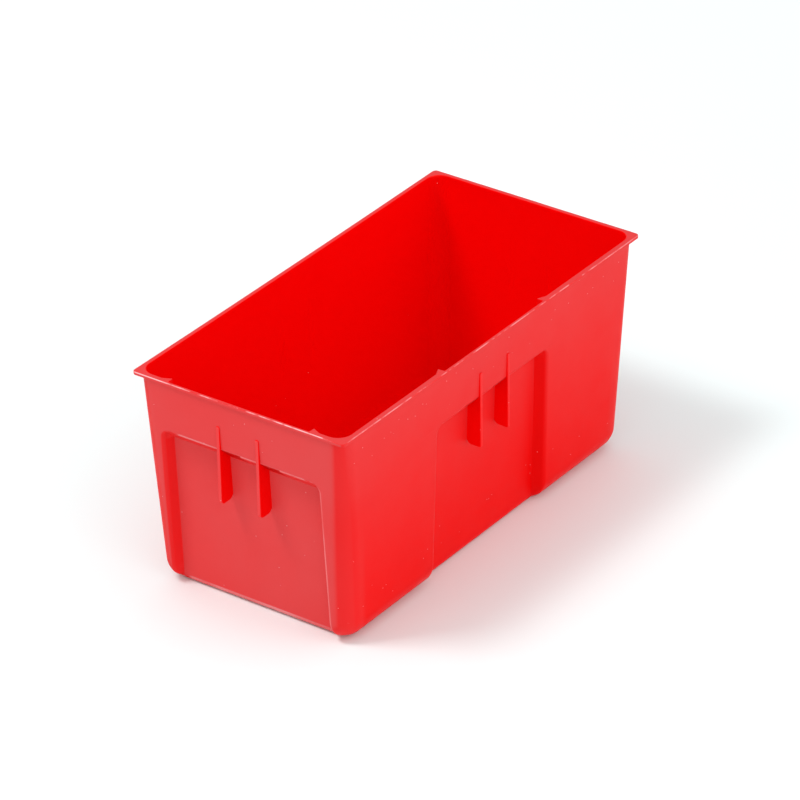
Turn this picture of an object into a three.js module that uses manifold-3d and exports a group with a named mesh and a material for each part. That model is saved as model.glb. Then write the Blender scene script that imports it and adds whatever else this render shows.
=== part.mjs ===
// Nesting tub of red polypropylene, moulded in one shot: a tapered open box twice as long as it
// is wide, with a thin lip round the mouth, a recess in two neighbouring walls, a pair of
// nesting fins on every wall and four small nibs inside the mouth.
// The moulding is built whole and then divided close to its own feature lines, so that every
// feature is a closed solid with a name. Millimetres, +Z up, origin at the bottom centre.
// -Y is the front end wall, +Y the back end wall, +X the right side wall, -X the left one.

import * as THREE from 'three';
import { mergeVertices } from 'three/addons/utils/BufferGeometryUtils.js';
import Module from 'manifold-3d';

const wasm = await Module();
wasm.setup();

// ---- driving dimensions ----
const length = 300;
const width = 150;
const height = 142.5;

const rimLip = 1.25; // how far the rim stands out past the wall
const rimThickness = 2;
const rimCornerRadius = 2.75;

const sideTaper = 5.25; // how much each side wall leans in from mouth to base
const endTaper = 8;
const cornerRadiusTop = 11;
const cornerRadiusBottom = 13.5;
const footRadius = 14; // outer rounding where the walls turn into the base
const plainWall = 1.7; // back and left walls
const recessedWall = 2.4; // front and right walls
const floorThickness = 2;

const recessHalfWidth = 56.75;
const recessTop = 108;
const recessDepth = 7.75;
const recessCorner = 6;
const panelFootRadius = 4.5;
const endShift = 1.5; // fins and recess of the end walls sit this far off the middle

const finOffset = 13.9;
const finThickness = 2.2;
const finTop = 124;
const endFinBottom = 72.3;
const sideFinBottom = 74.6;
const finStandOff = 0.6; // how far a fin stands out of the wall at its top
const finDraft = Math.tan(THREE.MathUtils.degToRad(0.2));
const finGap = 0.02; // clearance between a fin and the wall that carries it

const nibStart = 50;
const nibLength = 6.6;
const nibReach = 6.25; // from the rim's outer edge to the nib's tip
const nibRoot = 2; // depth inside the wall where a nib is drawn from
const nibBottom = 112;
const rimLandWidth = 1.75; // width of the rim between the nibs

const arcSegments = 7;
const footSteps = 5;
const footCornerShare = 0.7; // how much of the foot's turning in its plan corners follow
const cornerPostLength = 26; // how far a corner post runs along a side wall
const shoulderTop = 112;
const seamInset = 3; // the corner posts take this much of a recess's ends
const past = 5; // how far a cutting block runs past what it cuts

const plastic = { color: 0xd8121a, roughness: 0.32, metalness: 0 };

// ---- outer wall planes ----
const rise = (z) => 1 - z / height;
const sideHalf = (z) => width / 2 - rimLip - sideTaper * rise(z);
const endHalf = (z) => length / 2 - rimLip - endTaper * rise(z);
const cornerRadius = (z) => cornerRadiusTop + (cornerRadiusBottom - cornerRadiusTop) * rise(z);

// ---- solids ----
function toSolid(geometry) {
  const bare = geometry.clone();
  bare.deleteAttribute('normal');
  bare.deleteAttribute('uv');
  const merged = mergeVertices(bare, 1e-5);
  const vertProperties = new Float32Array(merged.attributes.position.array);
  const triVerts = new Uint32Array(merged.index.array);
  return new wasm.Manifold(new wasm.Mesh({ numProp: 3, vertProperties, triVerts }));
}

function toGeometry(solid) {
  const mesh = solid.getMesh();
  const geometry = new THREE.BufferGeometry();
  geometry.setAttribute('position', new THREE.BufferAttribute(mesh.vertProperties, 3));
  geometry.setIndex(new THREE.BufferAttribute(mesh.triVerts, 1));
  geometry.computeVertexNormals();
  return geometry;
}

function block(low, high) {
  const size = high.map((value, axis) => value - low[axis]);
  const geometry = new THREE.BoxGeometry(...size);
  geometry.translate(...low.map((value, axis) => value + size[axis] / 2));
  return toSolid(geometry);
}

// A rounded rectangle between two corners of a plan.
function roundedPlan(low, high, radius) {
  const shape = new THREE.Shape();
  shape.absarc(high[0] - radius, high[1] - radius, radius, 0, Math.PI / 2);
  shape.absarc(low[0] + radius, high[1] - radius, radius, Math.PI / 2, Math.PI);
  shape.absarc(low[0] + radius, low[1] + radius, radius, Math.PI, 1.5 * Math.PI);
  shape.absarc(high[0] - radius, low[1] + radius, radius, 1.5 * Math.PI, 2 * Math.PI);
  return shape.getPoints(arcSegments);
}

// A closed body through plans stacked up the Z axis.
function stack(levels) {
  const rings = levels.map(({ low, high, radius }) => roundedPlan(low, high, radius));
  const count = rings[0].length;
  const points = rings.flatMap((ring, level) => ring.map(({ x, y }) => [x, y, levels[level].z]));
  const faces = [];
  for (let level = 0; level + 1 < rings.length; level += 1) {
    for (let i = 0; i < count; i += 1) {
      const a = level * count + i;
      const b = level * count + ((i + 1) % count);
      faces.push(a, b, b + count, a, b + count, a + count);
    }
  }
  const lid = (rings.length - 1) * count;
  for (let i = 1; i + 1 < count; i += 1) {
    faces.push(0, i + 1, i, lid, lid + i, lid + i + 1);
  }
  const geometry = new THREE.BufferGeometry();
  geometry.setAttribute('position', new THREE.Float32BufferAttribute(points.flat(), 3));
  geometry.setIndex(faces);
  return toSolid(geometry);
}

// The levels of a tapered body that turns in at the bottom with a round foot. The walls stand
// in from the outer wall planes by the given thicknesses.
function taperedLevels({ bottom, top, foot, walls }) {
  const level = (z, turnIn) => ({
    z,
    low: [-sideHalf(z) + walls.left + turnIn, -endHalf(z) + walls.front + turnIn],
    high: [sideHalf(z) - walls.right - turnIn, endHalf(z) - walls.back - turnIn],
    radius: Math.max(cornerRadius(z) - walls.left - footCornerShare * turnIn, 1),
  });
  const levels = [];
  for (let step = 0; step <= footSteps; step += 1) {
    const angle = (step / footSteps) * (Math.PI / 2);
    levels.push(level(bottom + foot * (1 - Math.cos(angle)), foot * (1 - Math.sin(angle))));
  }
  levels.push(level(top, 0));
  return levels;
}

function outerBody() {
  const walls = { left: 0, right: 0, front: 0, back: 0 };
  return stack(taperedLevels({ bottom: 0, top: height, foot: footRadius, walls }));
}

function innerSpace() {
  const walls = {
    left: plainWall, back: plainWall, right: recessedWall, front: recessedWall,
  };
  const foot = footRadius - floorThickness;
  return stack(taperedLevels({ bottom: floorThickness, top: height + past, foot, walls }));
}

// ---- walls as local frames: x runs along the wall, y points out of it, z is up ----
const endWall = { half: endHalf, shift: endShift, finBottom: endFinBottom };
const sideWall = { half: sideHalf, shift: 0, finBottom: sideFinBottom };
const walls = {
  front: { ...endWall, turn: Math.PI, recessed: true },
  right: { ...sideWall, turn: -Math.PI / 2, recessed: true },
  back: { ...endWall, turn: 0, recessed: false },
  left: { ...sideWall, turn: Math.PI / 2, recessed: false },
};
const axisX = new THREE.Vector3(1, 0, 0);
const axisY = new THREE.Vector3(0, 1, 0);
const axisZ = new THREE.Vector3(0, 0, 1);
const inwards = new THREE.Vector3(0, -1, 0);

// A profile in y and z, drawn out along the wall between two values of x.
function alongWall(profile, from, to) {
  const geometry = new THREE.ExtrudeGeometry(profile, { depth: to - from, bevelEnabled: false });
  geometry.applyMatrix4(new THREE.Matrix4().makeBasis(axisY, axisZ, axisX));
  return geometry.translate(from, 0, 0);
}

// An outline in x and z, drawn inwards from y = from over the given depth.
function throughWall(outline, from, depth) {
  const options = { depth, bevelEnabled: false, curveSegments: arcSegments };
  const geometry = new THREE.ExtrudeGeometry(outline, options);
  geometry.applyMatrix4(new THREE.Matrix4().makeBasis(axisX, axisZ, inwards));
  return geometry.translate(0, from, 0);
}

// ---- recess ----
// The space taken out of a wall. grow makes the larger copy that shapes the inside of the tub.
function recessSpace(wall, grow) {
  const inward = recessDepth + grow;
  const top = recessTop + grow * Math.SQRT2;
  const outside = wall.half(height) + past;
  const side = new THREE.Shape();
  side.moveTo(outside, -past);
  side.lineTo(outside, top + past);
  side.lineTo(wall.half(top) + past, top + past);
  side.lineTo(wall.half(top - inward) - inward, top - inward);
  for (let step = footSteps; step >= 0; step -= 1) {
    const angle = (step / footSteps) * (Math.PI / 2);
    const z = panelFootRadius * (1 - Math.cos(angle));
    const turnIn = panelFootRadius * (1 - Math.sin(angle));
    side.lineTo(wall.half(z) - inward - turnIn, z);
  }
  side.lineTo(wall.half(0) - inward - panelFootRadius, -past);
  const half = recessHalfWidth + grow;
  const front = new THREE.Shape();
  front.moveTo(-half, -past);
  front.lineTo(half, -past);
  front.absarc(half - recessCorner, top - recessCorner, recessCorner, 0, Math.PI / 2);
  front.absarc(recessCorner - half, top - recessCorner, recessCorner, Math.PI / 2, Math.PI);
  const deep = toSolid(alongWall(side, -half, half));
  const wide = toSolid(throughWall(front, outside + past, length / 2));
  return placed(deep.intersect(wide).translate(wall.shift, 0, 0), wall);
}

function placed(solid, wall) {
  return solid.rotate(0, 0, THREE.MathUtils.radToDeg(wall.turn));
}

// ---- the moulding, without its fins and nibs: walls and floor, and the rim on top of them ----
const recessedSides = Object.values(walls).filter((wall) => wall.recessed);

function shell() {
  let outer = outerBody();
  let inner = innerSpace();
  recessedSides.forEach((wall) => {
    outer = outer.subtract(recessSpace(wall, 0));
    inner = inner.subtract(recessSpace(wall, recessedWall));
  });
  return outer.subtract(inner);
}

// The rim is narrower on the recessed sides, between the nibs.
function rimRing() {
  const plan = {
    low: [-width / 2, -length / 2], high: [width / 2, length / 2], radius: rimCornerRadius,
  };
  let ring = stack([{ z: height - rimThickness, ...plan }, { z: height, ...plan }]);
  ring = ring.subtract(innerSpace());
  recessedSides.forEach((wall) => {
    const mouth = wall.half(height) + rimLip;
    const land = block(
      [-nibStart, mouth - recessedWall - past, height - rimThickness - past],
      [nibStart, mouth - rimLandWidth, height + past],
    );
    ring = ring.subtract(placed(land, wall));
  });
  return ring;
}

const body = shell();
const rim = rimRing();

// ---- pieces ----
const tub = new THREE.Group();
const material = () => new THREE.MeshStandardMaterial(plastic);

function addPiece(parent, name, geometry) {
  const mesh = new THREE.Mesh(geometry, material());
  mesh.name = name;
  parent.add(mesh);
  return mesh;
}

// The piece of a solid that lies between two corners of a box.
function cutPiece(name, solid, low, high) {
  addPiece(tub, name, toGeometry(solid.intersect(block(low, high))));
}

const outX = width / 2 + past;
const outY = length / 2 + past;
const postY = length / 2 - cornerPostLength;
const sideX = width / 2 - cornerPostLength;
const underRim = height - rimThickness;
const panelTop = recessTop - recessDepth;
const panelHalf = recessHalfWidth - seamInset;

cutPiece('floor', body, [-outX, -outY, -past], [outX, outY, floorThickness]);

// The end walls' middles are off centre, one to each side, because of endShift.
const frontFrom = -panelHalf - endShift;
const frontTo = panelHalf - endShift;
cutPiece('front_left_corner', body, [-outX, -outY, floorThickness], [frontFrom, -postY, underRim]);
cutPiece('front_right_corner', body, [frontTo, -outY, floorThickness], [outX, -postY, underRim]);
cutPiece('back_left_corner', body, [-outX, postY, floorThickness], [-frontTo, outY, underRim]);
cutPiece('back_right_corner', body, [-frontFrom, postY, floorThickness], [outX, outY, underRim]);

cutPiece('front_panel', body, [frontFrom, -outY, floorThickness], [frontTo, -postY, panelTop]);
cutPiece('front_shoulder', body, [frontFrom, -outY, panelTop], [frontTo, -postY, shoulderTop]);
cutPiece('front_band', body, [frontFrom, -outY, shoulderTop], [frontTo, -postY, underRim]);
cutPiece('back_wall', body, [-frontTo, postY, floorThickness], [-frontFrom, outY, underRim]);

cutPiece('right_front_leg', body, [sideX, -postY, floorThickness], [outX, -panelHalf, underRim]);
cutPiece('right_back_leg', body, [sideX, panelHalf, floorThickness], [outX, postY, underRim]);
cutPiece('right_panel', body, [sideX, -panelHalf, floorThickness], [outX, panelHalf, panelTop]);
cutPiece('right_shoulder', body, [sideX, -panelHalf, panelTop], [outX, panelHalf, shoulderTop]);
cutPiece('right_band', body, [sideX, -panelHalf, shoulderTop], [outX, panelHalf, underRim]);
cutPiece('left_wall', body, [-outX, -postY, floorThickness], [-sideX, postY, underRim]);

const overRim = height + past;
cutPiece('rim_front', rim, [-outX, -outY, underRim], [outX, -postY, overRim]);
cutPiece('rim_back', rim, [-outX, postY, underRim], [outX, outY, overRim]);
cutPiece('rim_left', rim, [-outX, -postY, underRim], [-sideX, postY, overRim]);
cutPiece('rim_right', rim, [sideX, -postY, underRim], [outX, postY, overRim]);

// ---- nesting fins: their edges lean in less than the walls, so they stand out more lower down
function finGeometry(wall) {
  const edge = (z) => wall.half(finTop) + finStandOff - (finTop - z) * finDraft;
  const root = (z, inward) => wall.half(z) - inward + finGap;
  const profile = new THREE.Shape();
  profile.moveTo(root(finTop, 0), finTop);
  if (wall.recessed) {
    profile.lineTo(root(recessTop, 0), recessTop);
    profile.lineTo(root(panelTop, recessDepth), panelTop);
  }
  const bottom = wall.finBottom;
  profile.lineTo(root(bottom, wall.recessed ? recessDepth : 0), bottom);
  profile.lineTo(edge(bottom), bottom);
  profile.lineTo(edge(finTop), finTop);
  return alongWall(profile, -finThickness / 2, finThickness / 2);
}

// ---- nibs: upright ribs at the ends of the rim's narrow land, just inside the mouth
function nibGeometry(wall, sense) {
  const mouth = wall.half(height) + rimLip;
  const start = sense * nibStart;
  const root = mouth - rimLip - nibRoot;
  const plan = new THREE.Shape();
  plan.moveTo(start, root);
  plan.lineTo(start, mouth - nibReach);
  plan.lineTo(start + sense * nibLength, root);
  const depth = height - nibBottom;
  const geometry = new THREE.ExtrudeGeometry(plan, { depth, bevelEnabled: false });
  const solid = toSolid(geometry.translate(0, 0, nibBottom));
  return toGeometry(placed(solid, wall).subtract(body).subtract(rim));
}

for (const [name, wall] of Object.entries(walls)) {
  const side = new THREE.Group();
  side.rotation.z = wall.turn;
  tub.add(side);
  [1, -1].forEach((sense, index) => {
    const fin = addPiece(side, `${name}_fin_${index + 1}`, finGeometry(wall));
    fin.position.x = wall.shift + sense * finOffset;
    if (wall.recessed) {
      addPiece(tub, `${name}_nib_${index + 1}`, nibGeometry(wall, sense));
    }
  });
}

export default tub;
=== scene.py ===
import math

import bmesh
import bpy
from mathutils import Matrix, Vector


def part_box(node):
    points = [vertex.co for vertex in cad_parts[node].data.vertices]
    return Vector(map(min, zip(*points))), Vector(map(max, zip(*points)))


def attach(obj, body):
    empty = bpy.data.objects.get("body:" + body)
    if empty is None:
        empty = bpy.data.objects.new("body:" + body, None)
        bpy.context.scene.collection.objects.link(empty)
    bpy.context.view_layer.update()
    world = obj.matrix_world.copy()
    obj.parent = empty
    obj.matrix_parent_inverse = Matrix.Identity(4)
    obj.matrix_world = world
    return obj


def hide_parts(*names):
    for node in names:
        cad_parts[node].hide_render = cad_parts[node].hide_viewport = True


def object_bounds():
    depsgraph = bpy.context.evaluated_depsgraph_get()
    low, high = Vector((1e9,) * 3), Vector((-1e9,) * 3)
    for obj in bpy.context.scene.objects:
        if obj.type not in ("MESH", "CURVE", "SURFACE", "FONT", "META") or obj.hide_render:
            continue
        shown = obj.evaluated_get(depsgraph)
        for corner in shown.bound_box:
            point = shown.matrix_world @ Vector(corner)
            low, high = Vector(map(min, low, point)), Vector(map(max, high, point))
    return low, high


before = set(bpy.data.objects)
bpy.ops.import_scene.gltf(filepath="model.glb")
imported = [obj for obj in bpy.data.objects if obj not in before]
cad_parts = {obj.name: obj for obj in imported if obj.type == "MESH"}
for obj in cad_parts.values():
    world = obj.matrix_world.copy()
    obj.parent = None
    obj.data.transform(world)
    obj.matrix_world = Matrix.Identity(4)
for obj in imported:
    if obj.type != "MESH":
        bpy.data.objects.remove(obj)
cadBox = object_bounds()
mm = 0.001

low, high = (Vector(corner) / mm for corner in cadBox)
length = high.y - low.y
width = high.x - low.x
height = high.z
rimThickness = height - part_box("front_band")[1].z / mm
print("frame loaded:", len(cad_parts), "nodes")


def smoothMin(a, b, blend):
    mix = max(blend - abs(a - b), 0) / blend
    return min(a, b) - mix * mix * blend / 4


def arcSteps(radius, count):
    pairs = []
    for step in range(count + 1):
        angle = math.pi / 2 * step / count
        pairs.append((radius * (1 - math.cos(angle)), radius * (1 - math.sin(angle))))
    return pairs


def footInset(z, radius):
    if z >= radius:
        return 0
    return radius - math.sqrt(radius ** 2 - (radius - z) ** 2)


moulding = {
    "lip": 1.25,             # how far the rim stands out past the walls
    "lipCorner": 2.75,
    "sideLean": 5.25,        # how much the side walls lean in from mouth to base
    "endLean": 8,
    "cornerTop": 11,         # plan radius of the upright corners at the mouth
    "cornerBase": 13.5,
    "cornerParts": 10,
    "foot": 14,
    "floor": 2,
    "plainWall": 1.7,
    "recessedWall": 2.4,
    "landWidth": 1.75,       # the rim is this narrow between the nibs
    "landHalf": 50,
    "edge": 0.32,            # small rounding of the rim's edges
    "bow": 0.7,              # how far the left rim is pulled in at its middle
    "landGap": 0.2,          # half the width of the jump from the narrow rim to a nib's length
    "landEdge": 0.05,        # small easing of the rim's inner lower edge
    "landFoot": 0.15,
    "footCorner": 0.7,       # how fast the upright corners tighten as the foot turns in
    "seam": 0.8,             # plain wall that is always left between a corner and the recess
    "weld": 0.012,           # points closer than this are merged
}

recess = {
    "half": 56.75,
    "top": 108,
    "depth": 7.75,
    "run": 2.5,              # how far each side step leans over its depth
    "corner": 6,             # rounding of the recess's upper corners
    "foot": 4.5,
    "outerEdge": 3.2,        # convex rounding where the wall turns into the recess
    "innerEdge": 0.7,
    "parts": 6,              # straight parts in each of a step's two roundings
    "sideDraft": 1.2,        # the recess is this much narrower at its top, on each side
    "spread": 12,            # height over which the rings spread out again above the recess
    "yield": 12,             # lack of room over which a squeezed step would vanish
    "cornerReach": 0.985,    # share of a corner's radius that the recess may take up
}


def rise(z):
    return 1 - z / height


def sideHalf(z):
    return width / 2 - moulding["lip"] - moulding["sideLean"] * rise(z)


def endHalf(z):
    return length / 2 - moulding["lip"] - moulding["endLean"] * rise(z)


def plainCorner(z):
    return moulding["cornerTop"] + (moulding["cornerBase"] - moulding["cornerTop"]) * rise(z)


def stepProfile(angle, wallEdge, panelEdge):
    # offsets along the wall and depths, from the wall round into the recess
    profile = []
    cut = wallEdge * math.tan(angle / 2)
    parts = recess["parts"]
    for i in range(parts + 1):
        turn = angle * i / parts
        profile.append((-cut + wallEdge * math.sin(turn), wallEdge * (1 - math.cos(turn))))
    cut = panelEdge * math.tan(angle / 2)
    for i in range(parts + 1):
        turn = angle * (1 - i / parts)
        along = recess["run"] + cut - panelEdge * math.sin(turn)
        profile.append((along, recess["depth"] - panelEdge * (1 - math.cos(turn))))
    return profile


def makeNotch(skin):
    # the recess as one side of the wall sees it: skin 0 is outside, skin t is t deeper in
    stepAngle = math.atan2(recess["depth"], recess["run"])
    lower = moulding["floor"] if skin else 0
    wallEdge = max(recess["outerEdge"] - skin, 0.9)
    panelEdge = recess["innerEdge"] + skin
    notch = {
        "top": recess["top"] + skin * math.tan(math.pi / 8),
        "half": recess["half"] + skin * math.tan(stepAngle / 2),
        "corner": recess["corner"] + skin,
        "foot": recess["foot"] - lower,
        "wallFoot": moulding["foot"] - lower,
        "base": lower,
        "wallEdge": wallEdge,
        "wallCut": wallEdge * math.tan(math.pi / 8),
        "panelEdge": panelEdge,
        "panelCut": panelEdge * math.tan(math.pi / 8),
        "blend": 0.5 + 0.6 * skin,
        "step": stepProfile(stepAngle, wallEdge, panelEdge),
    }
    return notch


def notchHalf(notch, z):
    # half the recess's width, drawn in at its rounded upper corners and spread again above them
    corner = notch["corner"]
    over = z - (notch["top"] - corner)
    half = notch["half"] - recess["sideDraft"] * z / recess["top"]
    if over <= 0:
        return half
    if over > corner:
        return half - corner * max(0, 1 - (over - corner) / recess["spread"])
    return half - corner + math.sqrt(corner ** 2 - over ** 2)


def notchDepth(notch, z):
    # depth of the panel below the wall at height z, with the ceiling at 45 degrees
    top, depth = notch["top"], recess["depth"]
    wallEdge, panelEdge = notch["wallEdge"], notch["panelEdge"]
    slope = math.sin(math.pi / 4)
    ceiling = top - z
    aboveWall = z - top - notch["wallCut"]
    if aboveWall > 0:
        ceiling = 0
    elif aboveWall > -wallEdge * slope:
        ceiling = wallEdge - math.sqrt(wallEdge ** 2 - aboveWall ** 2)
    abovePanel = z - (top - depth - notch["panelCut"])
    if abovePanel < 0:
        ceiling = depth
    elif abovePanel < panelEdge * slope:
        ceiling = depth - panelEdge + math.sqrt(panelEdge ** 2 - abovePanel ** 2)
    up = z - notch["base"]
    turned = footInset(up, notch["foot"]) - footInset(up, notch["wallFoot"])
    return max(min(ceiling, depth + turned), 0)


def notchLevels(notch):
    # heights at which the recess needs a ring of its own
    heights = []
    for i in range(6):
        slope = math.sin(math.pi / 4 * i / 5)
        heights.append(notch["top"] + notch["wallCut"] - notch["wallEdge"] * slope)
        heights.append(notch["top"] - recess["depth"] - notch["panelCut"] + notch["panelEdge"] * slope)
    for i in range(1, 8):
        heights.append(notch["top"] - notch["corner"] * (1 - math.sin(math.pi / 2 * i / 8)))
    return heights


def cornerDrop(along, start, end, radius):
    # how far the plan's round corner falls back from the wall's face at a place along it
    over = min(max(start - along, along - end, 0), radius)
    return radius - math.sqrt(radius ** 2 - over ** 2)


def wallEnds(level, wall):
    # the wall's own points begin and end at its corners, or further round them where the
    # recess reaches into a corner
    if not wall["recessed"]:
        return wall["start"], wall["end"]
    notch = level["notch"]
    edge = notchHalf(notch, level["z"]) - notch["step"][0][0] + moulding["seam"]
    reach = level["corner"] * recess["cornerReach"]
    begin = max(min(wall["start"], wall["shift"] - edge), wall["start"] - reach)
    finish = min(max(wall["end"], wall["shift"] + edge), wall["end"] + reach)
    return begin, finish


def between(first, last, count):
    return [first + (last - first) * i / count for i in range(1, count)]


def stepPoints(level, wall, end, sense, panel, paintedHighlight):
    # the recess's step on one side, from the plain wall in to the panel; it is squeezed
    # where the foot leaves it less room
    notch, parts = level["notch"], recess["parts"]
    edge = notchHalf(notch, level["z"]) - notch["step"][0][0]
    room = abs(end - wall["shift"]) - moulding["seam"] / 2
    moved = max(0, edge - room)
    points = []
    for i, (offset, depth) in enumerate(notch["step"]):
        gone = (offset - notch["step"][0][0]) * (1 - moved / recess["yield"])
        along = wall["shift"] + sense * (edge - moved - gone)
        drop = cornerDrop(along, wall["start"], wall["end"], level["corner"])
        cut = smoothMin(depth + drop, panel, notch["blend"]) if panel else 0
        onRounding = i < parts and cut > 0.05
        # painted highlight along the step's outer rounding
        edgeHighlight = paintedHighlight * math.sin(math.pi * i / parts) if onRounding else 0
        points.append((along, max(cut, drop, 0), edgeHighlight))
    return points


def wallPoints(level, wall):
    # places along one wall, how deep each lies, and how strong a painted highlight it carries
    begin, finish = wallEnds(level, wall)
    if not wall["recessed"]:
        return [(along, 0, 0) for along in between(begin, finish, 14)]

    def fallsBack(along):
        return cornerDrop(along, wall["start"], wall["end"], level["corner"])

    notch, z, middle = level["notch"], level["z"], wall["shift"]
    panel = 0 if level["flat"] else notchDepth(notch, z)
    paintedHighlight = wall["paintedHighlight"]
    first = stepPoints(level, wall, begin, -1, panel, paintedHighlight.get("first", 0))
    last = stepPoints(level, wall, finish, 1, panel, paintedHighlight.get("last", 0))
    squeeze = notchHalf(notch, z) / notch["half"]
    landHalf, gap = moulding["landHalf"], moulding["landGap"]
    stations = [-landHalf - gap, -landHalf + gap] + [10.0 * i for i in range(-4, 5)]
    stations += [landHalf - gap, landHalf + gap]
    ceiling = notch["top"] + notch["wallCut"] - z
    edgeHighlight = 0
    if not level["flat"] and 0.1 < ceiling < notch["wallEdge"] * 0.7:
        edgeHighlight = paintedHighlight.get("top", 0)
    elif z < recess["foot"]:
        edgeHighlight = paintedHighlight.get("foot", 0)
    points = [(along, fallsBack(along), 0) for along in between(begin, first[0][0], 4)] + first
    for station in stations:
        land = level["land"] if abs(station) < landHalf else 0
        along = station if level["flat"] else middle + (station - middle) * squeeze
        points.append((along, max(panel, fallsBack(along)) - land, edgeHighlight))
    points += reversed(last)
    return points + [(along, fallsBack(along), 0) for along in between(last[0][0], finish, 4)]


def ringPoints(level):
    # one closed ring round the tub, anticlockwise from the front left corner; each wall's entry says how
    # strong a painted highlight its recess's top edge, foot and first or last step carry
    front, right, back, left = level["reach"]
    radius = level["corner"]
    shift = -endWall["shift"]
    sides = [
        {"out": Vector((0, -1)), "along": Vector((1, 0)), "reach": front, "recessed": True,
         "shift": shift, "from": -left, "to": right, "paintedHighlight": {"top": 0.8, "foot": 1, "last": 1}},
        {"out": Vector((1, 0)), "along": Vector((0, 1)), "reach": right, "recessed": True,
         "shift": 0, "from": -front, "to": back, "paintedHighlight": {"first": 0.5}},
        {"out": Vector((0, 1)), "along": Vector((-1, 0)), "reach": back, "recessed": False,
         "shift": 0, "from": -right, "to": left},
        {"out": Vector((-1, 0)), "along": Vector((0, -1)), "reach": left, "recessed": False,
         "shift": 0, "from": -back, "to": front},
    ]
    for side in sides:
        side["start"] = side["from"] + radius
        side["end"] = side["to"] - radius
    ring = []
    for number, side in enumerate(sides):
        for along, depth, edgeHighlight in wallPoints(level, side):
            ring.append((side["along"] * along + side["out"] * (side["reach"] - depth), edgeHighlight))
        following = sides[(number + 1) % 4]
        turnFrom = math.asin((wallEnds(level, side)[1] - side["end"]) / radius)
        turnTo = math.acos((following["start"] - wallEnds(level, following)[0]) / radius)
        centre = side["along"] * side["end"] + side["out"] * (side["reach"] - radius)
        for i in range(moulding["cornerParts"] + 1):
            angle = turnFrom + (turnTo - turnFrom) * i / moulding["cornerParts"]
            turned = side["out"] * math.cos(angle) + side["along"] * math.sin(angle)
            ring.append((centre + turned * radius, 0))
    return [(bowed(point, level["z"]), edgeHighlight) for point, edgeHighlight in ring]


def bowed(point, z):
    share = max(0, -point.x / (width / 2)) ** 8 * (z / height) ** 3
    along = max(0, 1 - (2 * point.y / length) ** 2)
    return Vector((point.x + moulding["bow"] * share * along, point.y, z))


def bodyLevel(z, notch, inset=0, turned=0, thick=(0, 0)):
    recessed, plain = thick
    cutIn = inset + turned
    return {
        "z": z,
        "notch": notch,
        "flat": False,
        "land": 0,
        "reach": (endHalf(z) - recessed - cutIn, sideHalf(z) - recessed - cutIn,
                  endHalf(z) - plain - cutIn, sideHalf(z) - plain - cutIn),
        "corner": max(plainCorner(z) - plain - moulding["footCorner"] * turned, 1),
    }


def rimLevel(z, notch, inset):
    return {
        "z": z, "notch": notch, "flat": True, "land": 0,
        "reach": (length / 2 - inset, width / 2 - inset) * 2,
        "corner": max(moulding["lipCorner"] - inset, 0.5),
    }


def mouthLevel(z, notch, inset, land):
    level = bodyLevel(z, notch, inset, 0, (moulding["recessedWall"], moulding["plainWall"]))
    level["flat"] = True
    level["land"] = land
    return level


def mouldingLevels():
    outer = makeNotch(0)
    inner = makeNotch(moulding["recessedWall"])
    thick = (moulding["recessedWall"], moulding["plainWall"])
    underRim = height - rimThickness
    edge = moulding["edge"]
    levels = []
    for up, turned in arcSteps(moulding["foot"], 16):
        levels.append(bodyLevel(up, outer, 0, turned))
    wallHeights = [20, 30, 40, 50, 60, 70, 80, 90, 97, 112, 116, 122, 130, 136]
    for z in sorted(wallHeights + notchLevels(outer)):
        levels.append(bodyLevel(z, outer))
    for drop, out in reversed(arcSteps(edge, 3)):
        levels.append(bodyLevel(underRim - drop, outer, -out))
    for up, inset in arcSteps(edge, 3):
        levels.append(rimLevel(underRim + up, outer, inset))
    for drop, inset in reversed(arcSteps(edge, 3)):
        levels.append(rimLevel(height - drop, outer, inset))
    landDepth = thick[0] + moulding["lip"] - moulding["landWidth"]
    sheltered = len(levels)   # from here on the skin is the tub's inside
    for drop, inset in arcSteps(edge, 3):
        levels.append(mouthLevel(height - drop, inner, -inset, landDepth))
    landEdge, landFoot = moulding["landEdge"], moulding["landFoot"]
    levels.append(mouthLevel(underRim + landEdge, inner, 0, landDepth))
    levels.append(mouthLevel(underRim, inner, 0, landDepth - landEdge))
    levels.append(mouthLevel(underRim, inner, 0, landFoot))
    levels.append(mouthLevel(underRim - landFoot, inner, 0, 0))
    for z in sorted(wallHeights + notchLevels(inner), reverse=True):
        levels.append(bodyLevel(z, inner, 0, 0, thick))
    for up, turned in reversed(arcSteps(moulding["foot"] - moulding["floor"], 14)):
        levels.append(bodyLevel(moulding["floor"] + up, inner, 0, turned, thick))
    return levels, sheltered


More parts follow.
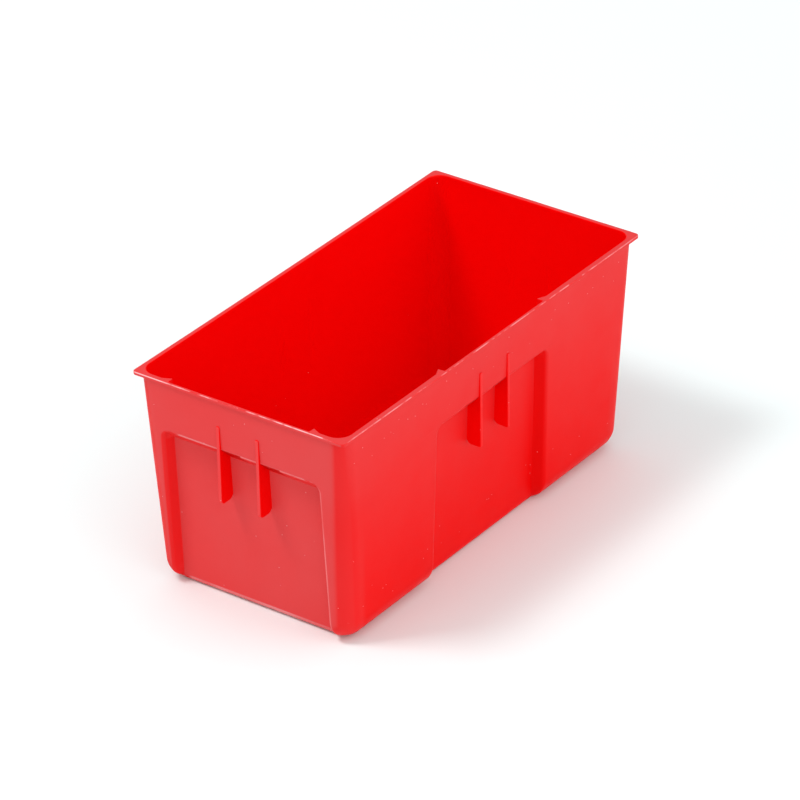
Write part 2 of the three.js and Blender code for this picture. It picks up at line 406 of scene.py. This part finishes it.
def buildMoulding():
    bm = bmesh.new()
    levels, sheltered = mouldingLevels()
    rings = [ringPoints(level) for level in levels]
    edgeHighlightLayer = bm.verts.layers.float.new("edgeHighlight")
    verts = [bm.verts.new(point * mm) for point, edgeHighlight in rings[0]]
    edges = [bm.edges.new((verts[i], verts[(i + 1) % len(verts)])) for i in range(len(verts))]
    bottom = bm.faces.new(verts)
    bottom.normal_update()
    if bottom.normal.z > 0:
        bottom.normal_flip()
    for number, ring in enumerate(rings[1:], 1):
        drawn = bmesh.ops.extrude_edge_only(bm, edges=edges)["geom"]
        for item in drawn:
            if isinstance(item, bmesh.types.BMFace) and number > sheltered:
                item.material_index = 1
        edges = [item for item in drawn if isinstance(item, bmesh.types.BMEdge)]
        newVerts = {vert for edge in edges for vert in edge.verts}
        # each drawn vertex still lies on the one it came from, which tells which point it takes
        origin = {}
        for edge in edges:
            for vert in edge.verts:
                origin[vert] = next(link.other_vert(vert) for link in vert.link_edges
                                    if link.other_vert(vert) not in newVerts)
        order = {vert: i for i, vert in enumerate(verts)}
        drawnVerts = [None] * len(verts)
        for vert, source in origin.items():
            drawnVerts[order[source]] = vert
        for vert, (point, edgeHighlight) in zip(drawnVerts, ring):
            vert.co = point * mm
            vert[edgeHighlightLayer] = edgeHighlight if number <= sheltered else 0
        verts = drawnVerts
    bm.faces.new(verts).material_index = 1
    bmesh.ops.remove_doubles(bm, verts=bm.verts, dist=moulding["weld"] * mm)
    bmesh.ops.recalc_face_normals(bm, faces=bm.faces)
    return finishMesh(bm, "tub_moulding", 38)


def finishMesh(bm, name, sharpAngle):
    for face in bm.faces:
        face.smooth = True
    for edge in bm.edges:
        if len(edge.link_faces) == 2:
            edge.smooth = edge.calc_face_angle(0) < math.radians(sharpAngle)
    mesh = bpy.data.meshes.new(name)
    bm.to_mesh(mesh)
    bm.free()
    piece = bpy.data.objects.new(name, mesh)
    bpy.context.scene.collection.objects.link(piece)
    return piece


fin = {
    "offset": 13.9,
    "thickness": 2.2,
    "top": 124,
    "standOff": 0.6,         # how far a fin stands out of the wall at its top
    "lean": math.tan(math.radians(0.2)),
    "rootRound": 3.4,        # rounding of the lower end where it meets a recessed wall
    "plainRound": 0.8,       # and where it meets a plain wall
    "crestEdge": 0.4,
    "sunk": 0.6,             # how far a fin is let into the wall that carries it
}

# a wall's shift is how far its recess and fins sit off its middle
endWall = {"half": endHalf, "shift": 1.5, "finBottom": 72.3, "crestRound": 3}
sideWall = {"half": sideHalf, "shift": 0, "finBottom": 74.6, "crestRound": 0.8}
walls = {
    "front": {**endWall, "turn": math.pi, "recessed": True},
    "right": {**sideWall, "turn": -math.pi / 2, "recessed": True},
    "back": {**endWall, "turn": 0, "recessed": False},
    "left": {**sideWall, "turn": math.pi / 2, "recessed": False},
}


def quarterRound(centreOut, centreUp, radius, start):
    # five steps of a quarter turn, going on from the start angle
    points = []
    for i in range(6):
        angle = start + math.pi / 2 * i / 5
        points.append((centreOut + radius * math.cos(angle), centreUp + radius * math.sin(angle)))
    return points


def finProfile(wall):
    # outline of a fin seen along its wall: distance out from the tub's middle, and height
    half = wall["half"]
    depth = recess["depth"] if wall["recessed"] else 0
    panelTop = recess["top"] - recess["depth"]

    def root(z, inward):
        return half(z) - inward - fin["sunk"]

    def crest(z):
        return half(fin["top"]) + fin["standOff"] - (fin["top"] - z) * fin["lean"]

    outline = [(root(fin["top"], 0), fin["top"])]
    if wall["recessed"]:
        outline.append((root(recess["top"], 0), recess["top"]))
        outline.append((root(panelTop, depth), panelTop))
    bottom = wall["finBottom"]
    corner = fin["rootRound"] if wall["recessed"] else fin["plainRound"]
    wallFace = half(bottom + corner) - depth
    outline.append((root(bottom + corner, depth), bottom + corner))
    outline += quarterRound(wallFace + corner, bottom + corner, corner, math.pi)
    corner = min(wall["crestRound"], (crest(bottom) - wallFace) / 3)
    outline += quarterRound(crest(bottom) - corner, bottom + corner, corner, 1.5 * math.pi)
    outline.append((crest(fin["top"]), fin["top"]))
    return outline


def wallPlace(wall, along):
    # from a wall's own frame in millimetres to the tub's frame in metres
    place = Matrix.Rotation(wall["turn"], 4, "Z") @ Matrix.Translation((along, 0, 0))
    return Matrix.Scale(mm, 4) @ place


def buildFin(name, wall, sense):
    bm = bmesh.new()
    halfThick = fin["thickness"] / 2
    outline = [bm.verts.new((-halfThick, out, z)) for out, z in finProfile(wall)]
    face = bm.faces.new(outline)
    drawn = bmesh.ops.extrude_face_region(bm, geom=[face])["geom"]
    moved = [item for item in drawn if isinstance(item, bmesh.types.BMVert)]
    bmesh.ops.translate(bm, verts=moved, vec=(fin["thickness"], 0, 0))
    bmesh.ops.remove_doubles(bm, verts=bm.verts, dist=0.001)
    bmesh.ops.recalc_face_normals(bm, faces=bm.faces)
    depth = recess["depth"] if wall["recessed"] else 0
    clear = fin["sunk"] / 2
    # only the two side outlines, where they stand free of the wall, are rounded
    free = []
    for edge in bm.edges:
        ends = [vert.co for vert in edge.verts]
        outside = all(co.y > wall["half"](co.z) - depth + clear or co.y > wall["half"](fin["top"])
                      for co in ends)
        if outside and abs(ends[0].x - ends[1].x) < clear:
            free.append(edge)
    bmesh.ops.bevel(bm, geom=free, offset=fin["crestEdge"], offset_type="OFFSET", affect="EDGES",
                    segments=3, profile=0.5, material=-1, clamp_overlap=True)
    place = wallPlace(wall, wall["shift"] + sense * fin["offset"])
    bmesh.ops.transform(bm, matrix=place, verts=bm.verts)
    return finishMesh(bm, name, 40)


nib = {
    "start": 50,
    "length": 6.6,
    "reach": 6.25,           # from the rim's outer edge to the tip
    "root": 2,               # depth inside the wall where a nib is drawn from
    "bottom": 112,
    "drop": 0.02,            # its top stays this much below the rim's
    "edge": 0.3,
    "lowTip": 0.9,           # what is left of its reach at the bottom
    "lowRise": 1.5,
}


def buildNib(name, wall, sense):
    bm = bmesh.new()
    mouth = wall["half"](height)
    root = mouth - nib["root"]
    start = sense * nib["start"]
    tip = (start, mouth + moulding["lip"] - nib["reach"])
    top = height - nib["drop"]
    plan = [(start, root), tip, (start + sense * nib["length"], root)]
    face = bm.faces.new([bm.verts.new((x, y, top)) for x, y in plan])
    drawn = bmesh.ops.extrude_face_region(bm, geom=[face])["geom"]
    lower = [item for item in drawn if isinstance(item, bmesh.types.BMVert)]
    leanIn = wall["half"](top) - wall["half"](nib["bottom"])
    bmesh.ops.translate(bm, verts=lower, vec=(0, -leanIn, nib["bottom"] - top))
    lowTip = [vert for vert in lower if vert.co.y < root - leanIn - nib["lowTip"]]
    backOut = root - tip[1] - nib["lowTip"]
    bmesh.ops.translate(bm, verts=lowTip, vec=(0, backOut, nib["lowRise"]))
    bmesh.ops.recalc_face_normals(bm, faces=bm.faces)
    tipLine = [edge for edge in bm.edges if all(abs(vert.co.x - start) < 0.01 for vert in edge.verts)
               and min(vert.co.y for vert in edge.verts) < tip[1] + 0.01]
    topLine = [edge for edge in bm.edges if all(vert.co.z > top - 0.01 for vert in edge.verts)]
    bmesh.ops.bevel(bm, geom=list(set(tipLine + topLine)), offset=nib["edge"], offset_type="OFFSET",
                    affect="EDGES", segments=3, profile=0.5, material=-1, clamp_overlap=True)
    bmesh.ops.transform(bm, matrix=wallPlace(wall, 0), verts=bm.verts)
    return finishMesh(bm, name, 40)


def addNode(tree, kind, **settings):
    node = tree.nodes.new(kind)
    for key, value in settings.items():
        setattr(node, key, value)
    return node


def feed(tree, socket, value):
    # a socket takes either another node's output or a plain value
    if isinstance(value, bpy.types.NodeSocket):
        tree.links.new(value, socket)
    else:
        socket.default_value = value


def calc(tree, operation, *values):
    node = addNode(tree, "ShaderNodeMath", operation=operation)
    for socket, value in zip(node.inputs, values):
        feed(tree, socket, value)
    return node.outputs[0]


def product(tree, result, *others):
    for value in others:
        result = calc(tree, "MULTIPLY", result, value)
    return result


def ramp(tree, value, start, end, toStart=0.0, toEnd=1.0):
    # a smooth step from one range to another
    node = addNode(tree, "ShaderNodeMapRange", interpolation_type="SMOOTHSTEP")
    for label, number in zip(("Value", "From Min", "From Max", "To Min", "To Max"),
                             (value, start, end, toStart, toEnd)):
        feed(tree, node.inputs[label], number)
    return node.outputs[0]


def clouds(tree, place, scale, detail=3.0, roughness=0.5):
    node = addNode(tree, "ShaderNodeTexNoise")
    for label, value in zip(("Vector", "Scale", "Detail", "Roughness"),
                            (place, scale, detail, roughness)):
        feed(tree, node.inputs[label], value)
    return node.outputs["Fac"]


def mixColour(tree, factor, first, second):
    node = addNode(tree, "ShaderNodeMix", data_type="RGBA")
    feed(tree, node.inputs["Factor"], factor)
    sockets = [socket for socket in node.inputs if socket.type == "RGBA"]
    for socket, value in zip(sockets, (first, second)):
        feed(tree, socket, value if isinstance(value, bpy.types.NodeSocket) else (*value, 1))
    return next(socket for socket in node.outputs if socket.type == "RGBA")


def coordinate(tree, label):
    # "Object" is the place in metres and "Normal" the way the surface faces
    return addNode(tree, "ShaderNodeTexCoord").outputs[label]


def split(tree, vector):
    node = addNode(tree, "ShaderNodeSeparateXYZ")
    feed(tree, node.inputs[0], vector)
    return node.outputs


def newGroup(name, inputs, outputs):
    group = bpy.data.node_groups.new(name, "ShaderNodeTree")
    for label, value in inputs.items():
        socket = group.interface.new_socket(label, in_out="INPUT", socket_type="NodeSocketFloat")
        socket.default_value = value
    for label in outputs:
        group.interface.new_socket(label, in_out="OUTPUT", socket_type="NodeSocketFloat")
    given = addNode(group, "NodeGroupInput").outputs
    made = addNode(group, "NodeGroupOutput").inputs
    return group, given, made


def useGroup(tree, group, **values):
    node = addNode(tree, "ShaderNodeGroup")
    node.node_tree = group
    for label, value in values.items():
        feed(tree, node.inputs[label], value)
    return node.outputs


# the plastic's look: the outside is rougher and carries a painted pale sheen that stands in for reflected
# light, the inside keeps its moulded gloss
outsideLook = {
    "red": (0.88, 0.0, 0.0),
    "deepRed": (0.83, 0.0, 0.0),
    "paintedSheen": (0.42, 0.32, 0.33),     # colour of the painted sheen, a pale reflection of the bright surroundings
    "endBloom": 0.18,
    "sideBloom": 0.11,
    "stripBloom": 0.045,
    "rimBloom": 0.13,
    "roughness": 0.42,
    "specular": 0.07,
    "grain": 0.00003,
    "wear": 0.85,
    "sideWear": 0.5,                 # share of the wear on the long lips
    "edgeHighlight": 0.42,                   # painted highlight along the recess's rounded edges
    "dust": 0.09,
    "dirt": 0.016,
    "shade": 0.38,                   # darkening of the recess's ceiling beside the fins
    "rimTopShade": 0.22,
}
# a brighter copy of the outside plastic for the fins: painted light on their flanks
finBrightenedLook = {**outsideLook, "red": (0.96, 0.0, 0.0), "deepRed": (0.93, 0.0, 0.0), "edgeHighlight": 0.0, "wear": 0.0}
insideLook = {
    "red": (0.93, 0.0, 0.0),
    "deepRed": (0.88, 0.0, 0.0),
    "roughness": 0.34,
    "specular": 0.12,
    "grain": 0.00002,
    "sink": 0.00022,
    "dust": 0.02,
}
# pale colour of the rim wear and of the painted edge highlights
wearAndHighlightColour = (1.0, 0.55, 0.57)
# dark red of the painted shade on the rim's upward faces
rimShadeColour = (0.3, 0.05, 0.05)
# dark red of the dirt specks and of the painted shade beside the fins
dirtAndShadeColour = (0.13, 0.0, 0.0)
dustColour = (0.95, 0.55, 0.56)
speckStrength = {"dust": 0.5, "dirt": 0.8}


sheenPlace = {
    "end": (0.123, 0.129),       # distance from the middle at which the ends' painted sheen sets in
    "side": (0.052, 0.058),
    "strip": (0.045, 0.055),     # the strips beside a recess, measured along the wall
    "sideShare": 0.3,            # how much weaker the sides' strips are than the ends'
    "fall": 1.7,                 # how fast the sides' painted sheen fades downwards
}


def paintedSheenGroup():
    # painted reflection: how much pale sheen each outer face carries for the bright surroundings it
    # faces: ends most, sides less and less downwards
    tree, given, made = newGroup("handlingBloom", {"End": 0.1, "Side": 0.1, "Strip": 0.1, "Rim": 0.1},
                                 ["Bloom", "Top"])
    place = coordinate(tree, "Object")
    x, y, z = split(tree, place)
    nx, ny, nz = split(tree, coordinate(tree, "Normal"))
    fromMiddleX = calc(tree, "ABSOLUTE", x)
    fromMiddleY = calc(tree, "ABSOLUTE", y)
    endward = product(tree, ny, calc(tree, "SIGN", y))
    sideward = product(tree, nx, calc(tree, "SIGN", x))
    nearEnd = ramp(tree, fromMiddleY, *sheenPlace["end"])
    nearSide = ramp(tree, fromMiddleX, *sheenPlace["side"])
    lift = calc(tree, "DIVIDE", z, height * mm)
    slowLift = calc(tree, "POWER", calc(tree, "MAXIMUM", lift, 0.0), sheenPlace["fall"])

    flat = ramp(tree, endward, 0.9, 0.995, 0.0, 0.65)
    turned = ramp(tree, endward, 0.1, 0.5, 0.0, 0.35)
    end = product(tree, calc(tree, "ADD", flat, turned), nearEnd, given["End"])
    side = product(tree, ramp(tree, sideward, 0.5, 0.95), nearSide, slowLift, given["Side"])
    endStrip = product(tree, nearEnd, ramp(tree, fromMiddleX, *sheenPlace["strip"]))
    sideStrip = product(tree, nearSide, ramp(tree, fromMiddleY, *sheenPlace["strip"]), slowLift,
                        sheenPlace["sideShare"])
    strip = product(tree, calc(tree, "MAXIMUM", endStrip, sideStrip), given["Strip"])
    onTop = ramp(tree, z, (height - 1) * mm, (height - 0.5) * mm)
    top = product(tree, ramp(tree, nz, 0.6, 0.95), onTop)
    feed(tree, made["Top"], top)
    most = calc(tree, "MAXIMUM", end, side)
    for other in (strip, product(tree, top, given["Rim"])):
        most = calc(tree, "MAXIMUM", most, other)
    patchy = ramp(tree, clouds(tree, place, 16.0, 4.0), 0.25, 0.75, 0.88, 1.1)
    feed(tree, made["Bloom"], product(tree, most, patchy))
    return tree


def finShadeGroup():
    # painted shade on the 45 degree ceiling beside each fin, which only ever sees red plastic
    tree, given, made = newGroup("ceilingShade", {"Length": 0.0145}, ["Shade"])
    x, y, z = split(tree, coordinate(tree, "Object"))
    facing = split(tree, coordinate(tree, "Normal"))
    top = recess["top"]
    begin = ramp(tree, z, (top - 8) * mm, (top - 6) * mm)
    end = ramp(tree, z, (top + 0.4) * mm, (top + 1.4) * mm, 1.0, 0.0)
    downward = product(tree, facing[2], -1.0)
    ceiling = product(tree, begin, end, ramp(tree, downward, 0.12, 0.3))
    frontward = product(tree, y, -1.0)
    total = 0.0
    for along, outward, limit, middle, sense in ((x, frontward, 0.12, -endWall["shift"], 1),
                                                 (y, x, 0.06, sideWall["shift"], -1)):
        onWall = calc(tree, "GREATER_THAN", outward, limit)
        for side in (-1, 1):
            start = (middle + side * fin["offset"]) * mm
            gone = product(tree, calc(tree, "SUBTRACT", along, start), float(sense))
            begun = calc(tree, "GREATER_THAN", gone, 0.0)
            ended = calc(tree, "LESS_THAN", gone, given["Length"])
            total = calc(tree, "ADD", total, product(tree, begun, ended, onWall))
    feed(tree, made["Shade"], product(tree, total, ceiling))
    return tree


def wearGroup():
    # whitened plastic along the rim's outer edge, broken up into strokes
    tree, given, made = newGroup("rimWear", {"Amount": 1.0, "Sides": 0.5}, ["Wear"])
    place = coordinate(tree, "Object")
    x, y, z = split(tree, place)
    fromSide = calc(tree, "SUBTRACT", width / 2 * mm, calc(tree, "ABSOLUTE", x))
    fromEnd = calc(tree, "SUBTRACT", length / 2 * mm, calc(tree, "ABSOLUTE", y))
    fromTop = calc(tree, "SUBTRACT", height * mm, z)
    away = calc(tree, "ADD", calc(tree, "MINIMUM", fromSide, fromEnd), fromTop)
    line = ramp(tree, away, 0.00025, 0.0006, 1.0, 0.0)
    strokes = ramp(tree, clouds(tree, place, 46.0, 5.0, 0.7), 0.42, 0.58)
    onEnd = calc(tree, "LESS_THAN", fromEnd, fromSide)
    share = ramp(tree, onEnd, 0.0, 1.0, given["Sides"], 1.0)
    feed(tree, made["Wear"], product(tree, line, strokes, share, given["Amount"]))
    return tree


def speckGroup():
    # sparse round specks: cells of a scatter pattern of which only a share hold one
    tree, given, made = newGroup("specks", {"Scale": 60.0, "Share": 0.05, "Size": 0.03}, ["Speck"])
    cells = addNode(tree, "ShaderNodeTexVoronoi", voronoi_dimensions="3D", feature="F1")
    feed(tree, cells.inputs["Vector"], coordinate(tree, "Object"))
    feed(tree, cells.inputs["Scale"], given["Scale"])
    shade = addNode(tree, "ShaderNodeSeparateColor")
    feed(tree, shade.inputs[0], cells.outputs["Color"])
    chosen = calc(tree, "LESS_THAN", shade.outputs[0], given["Share"])
    inside = calc(tree, "LESS_THAN", cells.outputs["Distance"], given["Size"])
    feed(tree, made["Speck"], product(tree, chosen, inside))
    return tree


def grainGroup():
    # fine moulded grain with slow flow waves under it, and uneven gloss
    tree, given, made = newGroup("mouldGrain", {"Depth": 0.00003}, ["Height", "Dull"])
    place = coordinate(tree, "Object")
    fine = clouds(tree, place, 900.0, 2.0)
    waves = product(tree, clouds(tree, place, 26.0, 1.0), 2.5)
    feed(tree, made["Height"], product(tree, calc(tree, "ADD", fine, waves), given["Depth"]))
    feed(tree, made["Dull"], ramp(tree, clouds(tree, place, 60.0, 5.0, 0.6), 0.3, 0.7, -0.04, 0.04))
    return tree


def sinkGroup():
    # shallow hollows in the plain inner walls, opposite each fin
    tree, given, made = newGroup("sinkMarks", {"Depth": 0.0002}, ["Hollow"])
    x, y, z = split(tree, coordinate(tree, "Object"))
    sinkBottom = sideWall["finBottom"]
    start = ramp(tree, z, (sinkBottom - 4) * mm, (sinkBottom + 8) * mm)
    end = ramp(tree, z, (fin["top"] - 20) * mm, fin["top"] * mm, 1.0, 0.0)
    onLeft = calc(tree, "LESS_THAN", x, -0.06)
    onBack = calc(tree, "GREATER_THAN", y, 0.13)
    total = 0.0
    for along, mask, middle in ((y, onLeft, sideWall["shift"]), (x, onBack, -endWall["shift"])):
        for side in (-1, 1):
            away = calc(tree, "SUBTRACT", along, (middle + side * fin["offset"]) * mm)
            one = ramp(tree, calc(tree, "ABSOLUTE", away), 0.0, 0.004, 1.0, 0.0)
            total = calc(tree, "ADD", total, product(tree, one, mask))
    feed(tree, made["Hollow"], product(tree, total, start, end, given["Depth"]))
    return tree


effects = {"paintedSheen": paintedSheenGroup(), "shade": finShadeGroup(), "wear": wearGroup(),
           "specks": speckGroup(), "grain": grainGroup(), "sinks": sinkGroup()}


def startPlastic(name, look):
    # mottled red, moulded grain and dust, which the outside and the inside share
    material = bpy.data.materials.new(name)
    material.use_nodes = True
    tree = material.node_tree
    shader = tree.nodes["Principled BSDF"]
    shader.inputs["Specular IOR Level"].default_value = look["specular"]
    shader.inputs["IOR"].default_value = 1.5
    mottle = clouds(tree, coordinate(tree, "Object"), 9.0)
    colour = mixColour(tree, mottle, look["red"], look["deepRed"])
    dust = useGroup(tree, effects["specks"], Scale=260.0, Share=look["dust"], Size=0.085)["Speck"]
    colour = mixColour(tree, product(tree, dust, speckStrength["dust"]), colour, dustColour)
    grain = useGroup(tree, effects["grain"], Depth=look["grain"])
    rough = calc(tree, "ADD", grain["Dull"], look["roughness"])
    return material, tree, shader, colour, rough, grain["Height"]


def finishPlastic(tree, shader, colour, rough, relief):
    feed(tree, shader.inputs["Base Color"], colour)
    feed(tree, shader.inputs["Roughness"], rough)
    bump = addNode(tree, "ShaderNodeBump")
    bump.inputs["Strength"].default_value = 1
    bump.inputs["Distance"].default_value = 1
    feed(tree, bump.inputs["Height"], relief)
    feed(tree, shader.inputs["Normal"], bump.outputs["Normal"])


def paintedSheenPlastic(name, look):
    material, tree, shader, colour, rough, relief = startPlastic(name, look)
    paintedSheenOutputs = useGroup(tree, effects["paintedSheen"], End=look["endBloom"], Side=look["sideBloom"],
                       Strip=look["stripBloom"], Rim=look["rimBloom"])
    shade = useGroup(tree, effects["shade"])["Shade"]
    unshaded = calc(tree, "SUBTRACT", 1.0, shade)
    # painted reflection: a pale sheen mixed into the colour stands in for the bright surroundings that
    # the outer faces reflect
    paintedSheen = product(tree, paintedSheenOutputs["Bloom"], unshaded)
    colour = mixColour(tree, paintedSheen, colour, look["paintedSheen"])
    # painted shade: the rim's upward faces are darkened towards a dark red
    colour = mixColour(tree, product(tree, paintedSheenOutputs["Top"], look["rimTopShade"]), colour, rimShadeColour)
    # painted shade: the ceiling beside each fin is darkened with the same dark red as the dirt specks
    colour = mixColour(tree, product(tree, shade, look["shade"]), colour, dirtAndShadeColour)
    dirt = useGroup(tree, effects["specks"], Scale=80.0, Share=look["dirt"], Size=0.035)["Speck"]
    colour = mixColour(tree, product(tree, dirt, speckStrength["dirt"]), colour, dirtAndShadeColour)
    wear = useGroup(tree, effects["wear"], Amount=look["wear"], Sides=look["sideWear"])["Wear"]
    colour = mixColour(tree, wear, colour, wearAndHighlightColour)
    # painted highlight: pale lines along the recess's rounded edges and foot, carried by a mesh attribute
    edgeHighlight = addNode(tree, "ShaderNodeAttribute", attribute_name="edgeHighlight").outputs["Fac"]
    paintedHighlight = ramp(tree, clouds(tree, coordinate(tree, "Object"), 30.0, 3.0), 0.3, 0.65, 0.35, 1.0)
    paintedHighlight = product(tree, ramp(tree, edgeHighlight, 0.3, 1.0), paintedHighlight, look["edgeHighlight"], unshaded)
    colour = mixColour(tree, paintedHighlight, colour, wearAndHighlightColour)
    rough = calc(tree, "ADD", rough, product(tree, paintedSheen, 0.5))
    finishPlastic(tree, shader, colour, rough, relief)
    return material


def shelteredPlastic():
    look = insideLook
    material, tree, shader, colour, rough, relief = startPlastic("shelteredPlastic", look)
    hollow = useGroup(tree, effects["sinks"], Depth=look["sink"])["Hollow"]
    finishPlastic(tree, shader, colour, rough, calc(tree, "SUBTRACT", relief, hollow))
    return material


outsideSkin = paintedSheenPlastic("paintedSheenPlastic", outsideLook)
finBrightenedSkin = paintedSheenPlastic("finBrightenedPlastic", finBrightenedLook)
insideSkin = shelteredPlastic()
print("plastic ready")

pieces = []
body = buildMoulding()
body.data.materials.append(outsideSkin)
body.data.materials.append(insideSkin)
mouldingNodes = [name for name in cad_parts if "_fin_" not in name and "_nib_" not in name]
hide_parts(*mouldingNodes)
pieces.append(body)
print("moulding:", len(body.data.polygons), "faces")

for wallName, wall in walls.items():
    for index, sense in ((1, 1), (2, -1)):
        piece = buildFin(f"{wallName}_nesting_fin_{index}", wall, sense)
        piece.data.materials.append(finBrightenedSkin)
        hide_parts(f"{wallName}_fin_{index}")
        pieces.append(piece)
        if wall["recessed"]:
            piece = buildNib(f"{wallName}_mouth_nib_{index}", wall, sense)
            piece.data.materials.append(outsideSkin)
            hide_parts(f"{wallName}_nib_{index}")
            pieces.append(piece)
print("fins and nibs:", len(pieces) - 1)

for piece in pieces:
    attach(piece, "root")


studio = {
    "floorSize": 8,
    "floorColour": (0.84, 0.93, 0.93),
    "keyEnergy": 28,
    "keySize": 0.7,
    "keyPlace": (-0.9, -1.05, 2.4),
    "zenith": 0.89,
    "horizon": 0.31,
    "rightGlow": 1.0,         # extra brightness of the studio's right-hand side
}


def buildFloor():
    bm = bmesh.new()
    bmesh.ops.create_grid(bm, x_segments=1, y_segments=1, size=studio["floorSize"] / 2)
    mesh = bpy.data.meshes.new("studio_floor")
    bm.to_mesh(mesh)
    bm.free()
    floor = bpy.data.objects.new("studio_floor", mesh)
    bpy.context.scene.collection.objects.link(floor)
    material = bpy.data.materials.new("paleFloor")
    material.use_nodes = True
    shader = material.node_tree.nodes["Principled BSDF"]
    shader.inputs["Base Color"].default_value = (*studio["floorColour"], 1)
    shader.inputs["Roughness"].default_value = 0.9
    shader.inputs["Specular IOR Level"].default_value = 0.2
    mesh.materials.append(material)


def buildSky():
    # white overhead, dimmer towards the horizon, with a glow from the right
    world = bpy.data.worlds.new("studioWorld")
    bpy.context.scene.world = world
    world.use_nodes = True
    tree = world.node_tree
    background = tree.nodes["Background"]
    background.inputs["Color"].default_value = (1, 1, 1, 1)
    x, y, z = split(tree, coordinate(tree, "Generated"))
    strength = ramp(tree, z, 0.0, 0.7, studio["horizon"], studio["zenith"])
    glow = ramp(tree, x, 0.3, 0.98, 0.0, studio["rightGlow"])
    feed(tree, background.inputs["Strength"], calc(tree, "ADD", strength, glow))


def buildKeyLight():
    light = bpy.data.lights.new("keyLight", "AREA")
    light.energy = studio["keyEnergy"]
    light.shape = "SQUARE"
    light.size = studio["keySize"]
    lamp = bpy.data.objects.new("keyLight", light)
    bpy.context.scene.collection.objects.link(lamp)
    lamp.location = studio["keyPlace"]
    lamp.rotation_euler = (-lamp.location).to_track_quat("-Z", "Y").to_euler()


view = {
    "azimuth": -36.124,      # degrees; 0 looks along +Y
    "elevation": 30.012,
    "roll": -1.029,
    "distance": 3.0808,
    "aim": 0.075,            # height of the point that the view turns about
    "slideX": -0.00407,      # that point's place in the view
    "slideY": -0.00065,
    "lens": 234.8,
    "sensor": 36,
}


def buildCamera():
    azimuth = math.radians(view["azimuth"])
    elevation = math.radians(view["elevation"])
    roll = math.radians(view["roll"])
    ahead = Vector((math.sin(azimuth) * math.cos(elevation),
                    math.cos(azimuth) * math.cos(elevation), -math.sin(elevation)))
    right = ahead.cross(Vector((0, 0, 1))).normalized()
    up = right.cross(ahead)
    turnedRight = right * math.cos(roll) + up * math.sin(roll)
    turnedUp = up * math.cos(roll) - right * math.sin(roll)
    place = Vector((0, 0, view["aim"])) - ahead * view["distance"]
    place -= turnedRight * view["slideX"] + turnedUp * view["slideY"]
    data = bpy.data.cameras.new("camera")
    data.lens = view["lens"]
    data.sensor_width = view["sensor"]
    data.clip_end = 50
    camera = bpy.data.objects.new("camera", data)
    bpy.context.scene.collection.objects.link(camera)
    basis = Matrix((turnedRight, turnedUp, -ahead)).transposed().to_4x4()
    camera.matrix_world = Matrix.Translation(place) @ basis
    bpy.context.scene.camera = camera


bpy.context.scene.view_settings.view_transform = "Standard"
buildFloor()
buildSky()
buildKeyLight()
buildCamera()
print("studio and camera ready")
